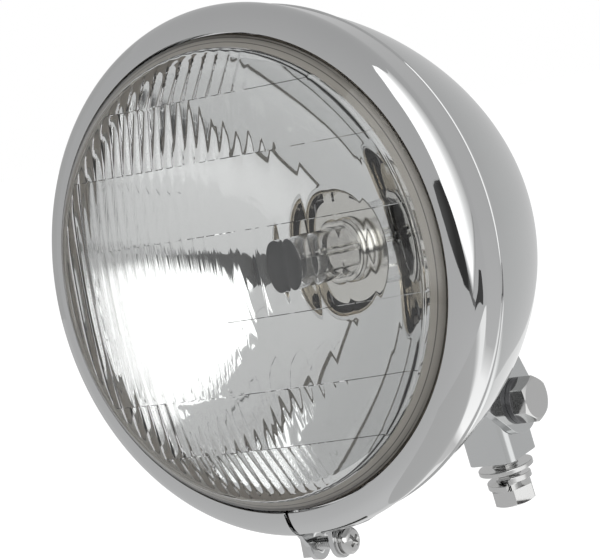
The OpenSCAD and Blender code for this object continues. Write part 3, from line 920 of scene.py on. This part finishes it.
@dataclass
class Lens:
    """The pressed glass: smooth outside, fluted in bands inside, with a side wall and a flange behind the lip."""

    glass: bpy.types.Material
    face_r: float = 65.5
    proud: float = 5.0
    bulge: float = 10.0
    thick: float = 3.5
    inner_r: float = 66.2
    column: float = 0.525
    bands: list[Band] = field(default_factory=lambda: [
        Band(-68.0, -50.6, 0.35, lean=-0.35, pitch=3.6, step=0.2, taper_low=lambda x: ramp(x, 16, 28),
             taper_high=lambda x: ramp(x, 16, 28)),
        Band(-50.4, -33.6, 0.4, 0.1, step=0.25, taper_low=lambda x: 1.1 * ramp(x, 0, 10) + ramp(x, 38, 46),
             taper_high=lambda x: ramp(x, -34, -26) * (1 - ramp(x, 0, 8)) + ramp(x, 34, 44)),
        Band(-33.4, -12.1, 0.7, 0.4, soft=0.16, step=0.15, taper_low=lambda x: 0.7 * ramp(x, -54, -50) + ramp(x, 0, 10),
             taper_high=lambda x: 1.1 * ramp(x, -54, -50)),
        Band(-11.9, 13.5, 0.7, 0.45, soft=0.24, step=0.1, taper_low=lambda x: 1.05 * ramp(x, -54, -50),
             taper_high=lambda x: 0.72 * ramp(x, -54, -50) + ramp(x, -10, 4)),
        Band(13.7, 34.7, 0.7, 0.4, soft=0.12, step=0.15, taper_low=lambda x: 0.72 * ramp(x, -54, -50) + ramp(x, -10, 4),
             taper_high=lambda x: 0.6 * ramp(x, -54, -50) + ramp(x, -4, 8)),
        Band(34.9, 52.9, 0.4, 0.12, step=0.25, taper_low=lambda x: ramp(x, 18, 42),
             taper_high=lambda x: 0.3 * ramp(x, -20, -6) + 0.8 * ramp(x, -6, 12)),
        Band(53.1, 68.0, 0.5, 0.1, lean=0.35, pitch=4.6, step=0.2, taper_low=lambda x: ramp(x, 12, 24),
             taper_high=lambda x: ramp(x, 12, 24)),
    ])

    @property
    def ball(self) -> float:
        """Radius of the outer face's sphere."""
        return (self.face_r ** 2 + self.bulge ** 2) / (2 * self.bulge)

    def outer_y(self, r: float) -> float:
        """Depth of the outer face at a radius."""
        return self.ball - self.proud - self.bulge - math.sqrt(self.ball ** 2 - r * r)

    def inner_y(self, x: float, z: float) -> float:
        """Work out the inner face's depth.

        Args:
            x: A place's distance to the right of the lamp's axis.
            z: Its height above the axis.

        Returns:
            The depth there, flutes included.
        """
        plain = self.outer_y(math.hypot(x, z)) + self.thick
        for band in self.bands:
            if band.low <= z <= band.high:
                fade = 1 - ramp(math.hypot(x, z), self.inner_r - 1.5, self.inner_r)
                return plain + band.height(x, z) * fade
        return plain

    def rows(self) -> list[float]:
        """Work out the grid's rows, dense towards the poles and with two at each band's edge.

        Returns:
            Their heights, from the lowest to the highest.
        """
        plain = [self.inner_r * math.sin(math.radians(a)) for a in [-90 + 1.2 * i for i in range(151)]]
        edges = [z for band in self.bands for z in (band.low, band.high) if abs(z) < self.inner_r]
        kept = [z for z in plain if all(abs(z - e) > 0.3 for e in edges)]
        return sorted(kept + edges)

    def build(self) -> None:
        """Build the lens from its fluted face outwards, ring by ring, to the middle of its outer face."""
        rows = self.rows()
        columns = 2 * math.ceil(self.inner_r / self.column)
        bm = bmesh.new()
        bmesh.ops.create_grid(bm, x_segments=columns, y_segments=len(rows) - 1, size=1.0)
        for v in bm.verts:
            row = round((v.co.y + 1) / 2 * (len(rows) - 1))
            z = rows[row]
            reach = math.sqrt(max(0.0, self.inner_r ** 2 - z * z))
            x = max(-reach, min(reach, v.co.x * columns / 2 * self.column))
            v.co = (x, self.inner_y(x, z), z)
        bmesh.ops.remove_doubles(bm, verts=bm.verts, dist=0.01)
        bmesh.ops.dissolve_degenerate(bm, edges=bm.edges, dist=0.005)
        for r, y in self._wall() + self._dome():
            self._ring(bm, r, y)
        rim = [e for e in bm.edges if e.is_boundary]
        bmesh.ops.holes_fill(bm, edges=rim, sides=0)
        bmesh.ops.recalc_face_normals(bm, faces=bm.faces)
        Piece("fluted_lens", bm, LAMP, Body.LAMP, self.glass, "lens", crisp=24.0).place()

    @staticmethod
    def _ring(bm: bmesh.types.BMesh, r: float, y: float) -> None:
        """Extrude a mesh's open edge to a ring.

        Args:
            bm: The mesh.
            r: The ring's radius.
            y: Its depth.
        """
        rim = [e for e in bm.edges if e.is_boundary]
        made = bmesh.ops.extrude_edge_only(bm, edges=rim)
        for v in (g for g in made["geom"] if isinstance(g, bmesh.types.BMVert)):
            flat = Vector((v.co.x, v.co.z)).normalized() * r
            v.co = (flat.x, y, flat.y)

    def _wall(self) -> list[Point]:
        """List the section from the fluted face round the flange to the outer face's edge.

        Returns:
            Its points.
        """
        inside = [(66.8, -0.1), (67.6, 1.3), (68.2, 3.2)]
        flange = [(68.4, 4.8), (73.4, 4.8), (73.8, 4.4), (73.8, 2.8), (73.4, 2.4), (70.9, 2.4)]
        side = [(70.8, 0.9), (70.4, -0.4), (68.6, -2.4), (67.3, -3.7)]
        shoulder = arc((65.6, -3.3), 1.6, -22, -72, 5)
        return inside + flange + side + shoulder

    def _dome(self) -> list[Point]:
        """Return the outer face's section from its edge to a small ring at its middle."""
        radii = [self.face_r * (1 - i / 30) for i in range(1, 30)]
        return [(r, self.outer_y(r)) for r in radii]


@dataclass
class LampUnit:
    """The reflector bowl with its compound, the ring and clips that hold it in the rim, and the rubber boot."""

    mirror: bpy.types.Material
    compound: bpy.types.Material
    spring: bpy.types.Material
    rubber: bpy.types.Material
    mouth_r: float = 63.5
    depth: float = 50.0
    flange_y: float = 5.2
    flange_r: float = 74.1
    sheet: float = 0.8
    neck_r: float = 19.0
    neck_end: float = 51.99
    edge_r: float = 3.0
    fillet: tuple[Point, ...] = (
        (66.0, -1.0), (66.45, -1.0), (66.9, -0.1), (67.7, 1.3), (68.3, 3.2), (68.5, 4.85), (73.5, 4.85),
        (73.5, 5.18), (63.9, 5.18), (63.95, 4.6), (65.4, 4.2), (66.5, 3.3), (66.8, 1.9), (66.3, 0.2))

    def build(self) -> None:
        """Build the bowl and its compound, and dress the pieces behind them."""
        k = self.mouth_r ** 2 / (self.depth - self.flange_y)
        steps = 60
        lean = math.atan(2 * (self.neck_r + self.edge_r * 0.58) / k)
        edge_start = self.neck_r + self.edge_r * (1 - math.sin(lean))
        radii = [self.mouth_r + (edge_start - self.mouth_r) * i / steps for i in range(steps + 1)]
        bowl = [(r, self.depth - r * r / k) for r in radii]
        centre = (self.neck_r + self.edge_r, bowl[-1][1] + self.edge_r * math.cos(lean))
        edge = arc(centre, self.edge_r, 270 - math.degrees(lean), 180, 10)[1:]
        profile = [(self.flange_r, self.flange_y)] + bowl + edge + [(self.neck_r, self.neck_end)]
        bm = turn(profile, 256, outside=Outside.INWARD)
        Piece("mirror_bowl", bm, LAMP, Body.LAMP, self.mirror, "reflector", wall=self.sheet, crisp=40.0).place()
        Piece("sealing_compound", turn(self.fillet, 192, closed=True), LAMP, Body.LAMP, self.compound,
              "lens_bond").place()
        for node, finish in (("retaining_ring", self.spring), ("retainer_clips", self.spring),
                             ("boot", self.rubber), ("bulb_clip", self.spring)):
            dress(node, finish)


@dataclass
class Bulb:
    """The bulb with its painted tip, filaments, shield, collar, insulator and blades."""

    glass: bpy.types.Material
    black: bpy.types.Material
    metal: bpy.types.Material
    base: bpy.types.Material
    contact: bpy.types.Material
    radius: float = 7.8
    tip: float = 17.6
    nose: float = 2.5
    wall: float = 0.9
    glass_end: float = 51.1
    paint_turn: float = 76.0
    collar_front: float = 47.1
    collar_r: float = 10.0
    seat_r: float = 16.0

    def _nose(self, out: float, to: float = 90.0) -> list[Point]:
        """Work out the blunt nose's section.

        Args:
            out: How far the section stands out from the glass's face.
            to: The angle at which it ends, in degrees.

        Returns:
            Its points, from the axis outwards.
        """
        steps = 14
        turns = [math.radians(to) * i / steps for i in range(steps + 1)]
        return [((self.radius + out) * math.sin(t), self.tip + self.nose - (self.nose + out) * math.cos(t))
                for t in turns]

    def build(self) -> None:
        """Build the glass, its paint and the collar, and dress what they hold."""
        tube = self._nose(0.0) + [(self.radius, self.glass_end), (self.radius - self.wall, self.glass_end)]
        tube += reversed(self._nose(-self.wall))
        Piece("bulb_envelope", turn(tube, 96), LAMP, Body.LAMP, self.glass, "bulb_glass").place()
        paint = self._nose(0.2, self.paint_turn) + self._nose(0.02, self.paint_turn)[::-1]
        Piece("bulb_black_tip", turn(paint, 96), LAMP, Body.LAMP, self.black, "bulb_cap").place()
        self._collar()
        for node, finish in (("bulb_shield", self.metal), ("bulb_filaments", self.metal),
                             ("bulb_insulator", self.base), ("bulb_terminals", self.contact)):
            refine(node + "_piece", node, Body.LAMP, finish)

    def _collar(self) -> None:
        """Build the collar: a rolled sleeve with two beads and the seating flange."""
        y, r, seat = self.collar_front, self.collar_r, self.seat_r
        bore = self.radius + 0.1
        sleeve = [(bore, y), (r - 1.2, y), (r - 0.7, y + 0.3), (r - 0.7, y + 1.3), (r - 0.1, y + 1.8),
                  (r - 0.1, y + 2.6), (r - 0.7, y + 3.1), (r - 0.7, y + 4.0), (r, y + 4.5), (r, y + 5.0),
                  (seat, y + 5.0), (seat, y + 6.15), (bore, y + 6.15)]
        bm = turn(sleeve, 96, closed=True)
        tongues = []
        for angle in (90, 210, 330):
            tongue = box_between((seat - 1, y + 5.02, -4.0), (seat + 5, y + 6.2, 4.0))
            spin = Matrix.Rotation(-math.radians(angle), 3, "Y")
            bmesh.ops.rotate(tongue, cent=(0, 0, 0), matrix=spin, verts=tongue.verts)
            tongues.append(tongue)
        Piece("bulb_sleeve", join([bm, *tongues]), LAMP, Body.LAMP, self.metal, "bulb_collar", crisp=28.0).place()


@dataclass
class Mount:
    """The bracket's ears, the pivot, the swivel block and the bolt below it."""

    plate: bpy.types.Material
    steel: bpy.types.Material
    dark: bpy.types.Material
    flats: float = 13.0
    head_h: float = 5.3
    bolt_r: float = 4.0
    core_r: float = 3.36
    head_face: float = 13.85
    pivot_end: float = -22.2
    nut_face: float = 13.65
    nut_h: float = 6.5
    seat: float = -27.9
    head_turn: float = 6.0
    bolt_h: float = 20.0
    pitch: float = 1.25
    ridge: float = 0.68
    threaded: float = 12.6

    def build(self) -> None:
        """Build the mount from the shell down to the bolt's head."""
        for name, node, body, finish, radius, above in (
                ("bracket_ears", "mount_ears", Body.LAMP, self.plate, 0.4, 25.0),
                ("pivot_spring_washer", "pivot_lock_washer", Body.LAMP, self.dark, 0.2, 25.0),
                ("pivot_plain_washer", "pivot_washer", Body.LAMP, self.steel, 0.2, 25.0),
                ("swivel_foot", "swivel_block", Body.MOUNT, self.plate, 0.4, 30.0),
                ("loose_washer", "mount_washer", Body.MOUNT, self.steel, 0.3, 25.0),
                ("split_washer", "mount_lock_washer", Body.MOUNT, self.steel, 0.2, 40.0)):
            refine(name, node, body, finish, radius, above, flats=True)
        across = PIN @ Matrix.Rotation(math.pi / 2, 4, "Y")
        pivot = join([self._hex(self.head_h, self.head_face), rod(self.bolt_r, self.pivot_end, self.head_face + 0.1)])
        nut = carve(self._hex(self.nut_h, self.nut_face), [rod(self.bolt_r - 0.05, 10, 24)])
        bmesh.ops.rotate(nut, cent=(0, 0, 0), matrix=Matrix.Rotation(math.pi, 3, "Y"), verts=nut.verts)
        for name, bm, place, body, node in (
                ("pivot_hex_bolt", pivot, across, Body.LAMP, "pivot_bolt"),
                ("pivot_hex_nut", nut, across, Body.LAMP, "pivot_nut"),
                ("mount_hex_bolt", self._mount_bolt(), BLOCK, Body.MOUNT, "mount_bolt")):
            Piece(name, bm, place, body, self.steel, node, crisp=28.0, flats=True).place()

    def _mount_bolt(self) -> bmesh.types.BMesh:
        """Make the bolt that holds the block, head down.

        Returns:
            The bolt, on the block's axis.
        """
        head = self._hex(self.head_h, 0.0)
        for angle, axis in ((180.0, "X"), (self.head_turn, "Z")):
            matrix = Matrix.Rotation(math.radians(angle), 3, axis)
            bmesh.ops.rotate(head, cent=(0, 0, 0), matrix=matrix, verts=head.verts)
        ridge = thread(self.bolt_r, self.pitch, self.ridge, self.threaded)
        bmesh.ops.translate(ridge, vec=(0, 0, 1.6), verts=ridge.verts)
        bolt = join([head, rod(self.core_r, -0.1, self.bolt_h), ridge])
        bmesh.ops.translate(bolt, vec=(0, 0, self.seat), verts=bolt.verts)
        return bolt

    def _hex(self, height: float, base: float) -> bmesh.types.BMesh:
        """Make a hexagon head, its corners cut by a cone at the outer end.

        Args:
            height: The head's height.
            base: Where it stands along Z.

        Returns:
            The head.
        """
        corner = self.flats / 2 / math.cos(math.pi / 6)
        bm = rod(corner, base, base + height, 6)
        bmesh.ops.rotate(bm, cent=(0, 0, 0), matrix=Matrix.Rotation(math.pi / 6, 3, "Z"), verts=bm.verts)
        upright = [e for e in bm.edges if abs(e.verts[0].co.z - e.verts[1].co.z) > height / 2]
        bmesh.ops.bevel(bm, geom=upright, offset=0.25, offset_type="OFFSET", segments=2, profile=0.5, affect="EDGES",
                        material=-1)
        top, reach, flat = base + height, corner + 2, self.flats / 2 * 0.95
        fall = (reach - flat) * math.tan(math.radians(30))
        ring = turn([(flat, top), (flat, top + 3), (reach, top + 3), (reach, top - fall)], 64, closed=True)
        bmesh.ops.rotate(ring, cent=(0, 0, 0), matrix=Matrix.Rotation(math.pi / 2, 3, "X"), verts=ring.verts)
        bmesh.ops.recalc_face_normals(ring, faces=ring.faces)
        return carve(bm, [ring])


@dataclass(frozen=True, kw_only=True)
class Glow:
    """A bright or dark surface that only reflections show.

    Its tones are brightnesses at shares of its width. Its fade is the share of its height over which its lower edge
    goes dim.
    """

    name: str
    tones: tuple[Point, ...]
    fade: float = 0.0
    lights: bool = False
    through_glass: bool = True

    def place(self, across: float, up: float) -> Vector:
        """Return the place at a share of the width and a share of the height."""
        raise NotImplementedError

    def build(self) -> None:
        """Bend a grid to the surface's places and give it its tones."""
        bm = bmesh.new()
        bmesh.ops.create_grid(bm, x_segments=48, y_segments=12, size=1.0, calc_uvs=True)
        layer = bm.loops.layers.uv.verify()
        for face in bm.faces:
            for loop in face.loops:
                loop[layer].uv = ((loop.vert.co.x + 1) / 2, (loop.vert.co.y + 1) / 2)
        for v in bm.verts:
            v.co = self.place((v.co.x + 1) / 2, (v.co.y + 1) / 2)
        obj = new_object(self.name, bm)
        graph = Graph(self.name)
        shares = graph.node("ShaderNodeSeparateXYZ", {}, {0: graph.places["UV"]})
        top = max(level for _, level in self.tones)
        stops = [(share, (level / top,) * 3) for share, level in self.tones]
        glow = graph.node("ShaderNodeValToRGB", {"stops": stops}, {0: shares.outputs[0]}).outputs[0]
        if self.fade:
            rise = graph.node("ShaderNodeMapRange", {}, {"Value": shares.outputs[1], "From Max": self.fade})
            glow = graph.blend(rise.outputs[0], (0.2, 0.2, 0.2), glow)
        obj.data.materials.append(graph.surface(Base_Color=rgba((0, 0, 0)), Specular_IOR_Level=0.0,
                                                Emission_Color=glow, Emission_Strength=top))
        obj.visible_camera = False
        obj.visible_shadow = False
        obj.visible_diffuse = self.lights
        obj.visible_transmission = self.through_glass


@dataclass(frozen=True, kw_only=True)
class HungGlow(Glow):
    """A glow that hangs as a patch of a sphere round the lamp's lip.

    Its outline gives its lower and upper limits at azimuths counted from the way the lamp shines towards +X, each as
    azimuth, low and high, in degrees.
    """

    outline: tuple[tuple[float, float, float], ...]
    distance: float = 1.25

    def place(self, across: float, up: float) -> Vector:
        """Work out a place on the patch.

        Args:
            across: Share of the patch's width.
            up: Share of its height there.

        Returns:
            The place.
        """
        azimuth = self.outline[0][0] + (self.outline[-1][0] - self.outline[0][0]) * across
        low, high = (self._limit(azimuth, side) for side in (1, 2))
        a, e = math.radians(azimuth), math.radians(low + (high - low) * up)
        way = Vector((math.sin(a) * math.cos(e), -math.cos(a) * math.cos(e), math.sin(e)))
        return LAMP.translation + self.distance * way

    def _limit(self, azimuth: float, side: int) -> float:
        """Read the outline at an azimuth.

        Args:
            azimuth: The azimuth, in degrees.
            side: 1 for the lower limit and 2 for the upper.

        Returns:
            The limit, in degrees.
        """
        for here, there in zip(self.outline, self.outline[1:]):
            if azimuth <= there[0]:
                share = (azimuth - here[0]) / (there[0] - here[0])
                return here[side] + (there[side] - here[side]) * share
        return self.outline[-1][side]


@dataclass(frozen=True, kw_only=True)
class TableGlow(Glow):
    """A glow that lies on the table beside the mount, between two azimuths and two distances from the mount."""

    azimuths: Point = (15.0, 128.0)
    reach: Point = (0.014, 0.2)
    height: float = -0.0165

    def place(self, across: float, up: float) -> Vector:
        """Work out a place on the table.

        Args:
            across: Share of the turn between the azimuths.
            up: Share of the way out.

        Returns:
            The place.
        """
        a = math.radians(self.azimuths[0] + (self.azimuths[1] - self.azimuths[0]) * across)
        out = self.reach[0] + (self.reach[1] - self.reach[0]) * up
        return Vector((out * math.sin(a), -out * math.cos(a), self.height))


GLOWS = (
    HungGlow(name="window", fade=0.08, lights=True, tones=((0.0, 1.9), (0.42, 1.9), (0.62, 1.2), (1.0, 0.66)),
             outline=((26, 5, 38), (29, 3, 44), (36, -5, 54), (46, -11.5, 60), (61, -20.5, 62), (68, -17, 62),
                      (90, -7, 60), (118, 4, 60))),
    HungGlow(name="camera_stand", distance=1.1,
             tones=((0.0, 0.12), (0.3, 0.05), (0.6, 0.05), (0.75, 0.22), (1.0, 0.22)),
             outline=((-3, 1, 3), (0, -2, 6), (10, -6, 9), (24, -11, 12), (28, -13, 8), (36, -15, -3),
                      (45, -17, -11.5), (61, -23, -20.5), (72, -25, -23))),
    HungGlow(name="window_foot", distance=2.6, tones=((0.0, 0.08), (1.0, 0.08)),
             outline=((68, -26, -24), (85, -24.5, -20), (97, -24, -13), (113, -24, -13), (122, -23, -20))),
    HungGlow(name="dark_wall", tones=((0.0, 0.6), (0.5, 0.52), (1.0, 0.6)), outline=((-140, -4, 34), (-74, -4, 34))),
    HungGlow(name="paper_behind", tones=((0.0, 0.9), (1.0, 0.9)),
             outline=((140, -60, -50), (168, -60, -42), (176, -60, -36), (190, -60, -18), (207, -60, -5),
                      (228, -60, -2))),
    TableGlow(name="bright_table", through_glass=False,
              tones=((0.0, 0.62), (0.35, 0.66), (0.5, 1.3), (0.85, 1.3), (1.0, 0.7))),
)


@dataclass
class Studio:
    """Camera, pale floor, soft lights and the tones that the chrome mirrors.

    The floor lies low enough for the lamp to tilt all the way down.
    """

    turn_deg: float = 38.0512
    rise: float = 0.0511757
    roll: float = 0.1910142
    lens_mm: float = 204.821
    eye: Vector = field(default_factory=lambda: Vector((0.62785, -0.88806, 0.12345)))
    floor_z: float = -0.065
    room: tuple[Point, ...] = ((0.0, 0.80), (0.18, 0.70), (0.30, 0.67), (0.47, 0.64), (0.50, 0.62), (1.0, 0.56))

    def build(self) -> None:
        """Set up the camera, the floor, the world and the glows."""
        self._camera()
        self._floor()
        self._world()
        for glow in GLOWS:
            glow.build()
        bpy.context.scene.view_settings.view_transform = "Standard"
        bpy.context.scene.cycles.use_denoising = True

    def _camera(self) -> None:
        """Set up the camera where the photograph was taken."""
        turn_to = math.radians(self.turn_deg)
        right = Vector((math.cos(turn_to), math.sin(turn_to), 0))
        level = Vector((-math.sin(turn_to), math.cos(turn_to), 0)) * math.cos(self.rise)
        ahead = level - Vector((0, 0, math.sin(self.rise)))
        up = right.cross(ahead)
        c, s = math.cos(self.roll), math.sin(self.roll)
        axes = Matrix((c * right - s * up, s * right + c * up, -ahead)).transposed().to_4x4()
        data = bpy.data.cameras.new("camera")
        data.sensor_width = 36.0
        data.lens = self.lens_mm
        data.clip_start, data.clip_end = 0.01, 50.0
        camera = bpy.data.objects.new("camera", data)
        camera.matrix_world = Matrix.Translation(self.eye) @ axes
        bpy.context.scene.collection.objects.link(camera)
        bpy.context.scene.camera = camera

    def _floor(self) -> None:
        """Lay a wide white floor that is lit like the paper sweep of a product photograph."""
        bm = bmesh.new()
        bmesh.ops.create_grid(bm, x_segments=4, y_segments=4, size=20.0)
        bmesh.ops.translate(bm, vec=(0, 0, self.floor_z), verts=bm.verts)
        floor = new_object("floor", bm)
        graph = Graph("white_floor")
        tone = graph.blend(graph.noise(3.0), (0.80, 0.80, 0.80), (0.84, 0.84, 0.84))
        floor.data.materials.append(graph.surface(Base_Color=tone, Roughness=0.9, Specular_IOR_Level=0.0,
                                                  Emission_Color=rgba((1, 1, 1)), Emission_Strength=0.6))
        floor.visible_glossy = False
        floor.visible_transmission = False

    def _world(self) -> None:
        """Show white to the camera, and to everything else a grey room that is paler towards its floor."""
        world = bpy.data.worlds.new("studio")
        bpy.context.scene.world = world
        graph = Graph("studio", world)
        split = graph.node("ShaderNodeSeparateXYZ", {}, {0: graph.places["Generated"]})
        height = graph.node("ShaderNodeMapRange", {}, {"Value": split.outputs[2], "From Min": -1.0})
        stops = [(where, (grey, grey, grey * 1.005)) for where, grey in self.room]
        tones = graph.node("ShaderNodeValToRGB", {"stops": stops}, {0: height.outputs[0]})
        mirrored = graph.node("ShaderNodeBackground", {}, {0: tones.outputs[0]})
        white = graph.node("ShaderNodeBackground", {}, {0: rgba((1, 1, 1))})
        seen = graph.node("ShaderNodeLightPath").outputs["Is Camera Ray"]
        mix = graph.node("ShaderNodeMixShader", {}, {0: seen, 1: mirrored.outputs[0], 2: white.outputs[0]})
        graph.node("ShaderNodeOutputWorld", {}, {0: mix.outputs[0]})


def main() -> None:
    """Build the sub-assemblies in order."""
    logging.basicConfig(level=logging.INFO, format="%(name)s %(message)s")
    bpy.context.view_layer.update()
    chrome = Plate("polished_chrome", (0.60, 0.605, 0.605), 0.035).material()
    shell_chrome = Plate("shell_chrome", (0.60, 0.61, 0.608), 0.05, wave=0.000003).material()
    mount_chrome = Plate("mount_chrome", (0.60, 0.61, 0.61), 0.10, haze=0.06, wave=0.000004, wave_scale=400).material()
    zinc = Plate("bright_fastener", (0.62, 0.62, 0.615), 0.12, haze=0.08, wave=0.000006, wave_scale=900).material()
    dark = Brushed("dark_spring_washer", (0.16, 0.16, 0.165), 0.35).material()
    spring = Brushed("spring_steel", (0.45, 0.45, 0.46), 0.3).material()
    nickel = Plate("nickel_sheet", (0.66, 0.65, 0.62), 0.12, haze=0.08).material()
    mirror = Plate("mirror_coat", (0.86, 0.865, 0.865), 0.03, haze=0.01, wave=0.000012, wave_scale=55,
                   bare=(-0.0654, (0.56, 0.51, 0.43))).material()
    tinned = Plate("tinned_contact", (0.62, 0.56, 0.44), 0.2, haze=0.08).material()
    glass = Pressed("pressed_glass", (0.985, 0.99, 0.985)).material()
    thin_glass = Pressed("bulb_glass", (0.99, 0.99, 0.99), 1.45).material()
    black = Moulded("black_paint", (0.035, 0.036, 0.038), 0.45, grain=0.00001).material()
    rubber = Moulded("black_rubber", (0.03, 0.03, 0.03), 0.65).material()
    plastic = Moulded("black_plastic", (0.05, 0.05, 0.052), 0.5).material()
    pale, brown, seam = (0.52, 0.49, 0.44), (0.33, 0.29, 0.24), (0.08, 0.072, 0.062)
    layers = ((0.0, pale), (0.26, pale), (0.29, seam), (0.34, pale), (0.58, pale), (0.63, seam), (0.68, brown),
              (0.87, brown), (0.90, seam), (0.94, brown))
    compound = Layered("grey_compound", -0.11197, -0.10577, layers).material()

    Studio().build()
    TrimRim(chrome).build()
    RimClamp(chrome, zinc).build()
    Shell(shell_chrome, rubber).build()
    Lens(glass).build()
    LampUnit(mirror, compound, spring, rubber).build()
    Bulb(thin_glass, black, nickel, plastic, tinned).build()
    Mount(mount_chrome, zinc, dark).build()


if __name__ == "__main__":
    main()
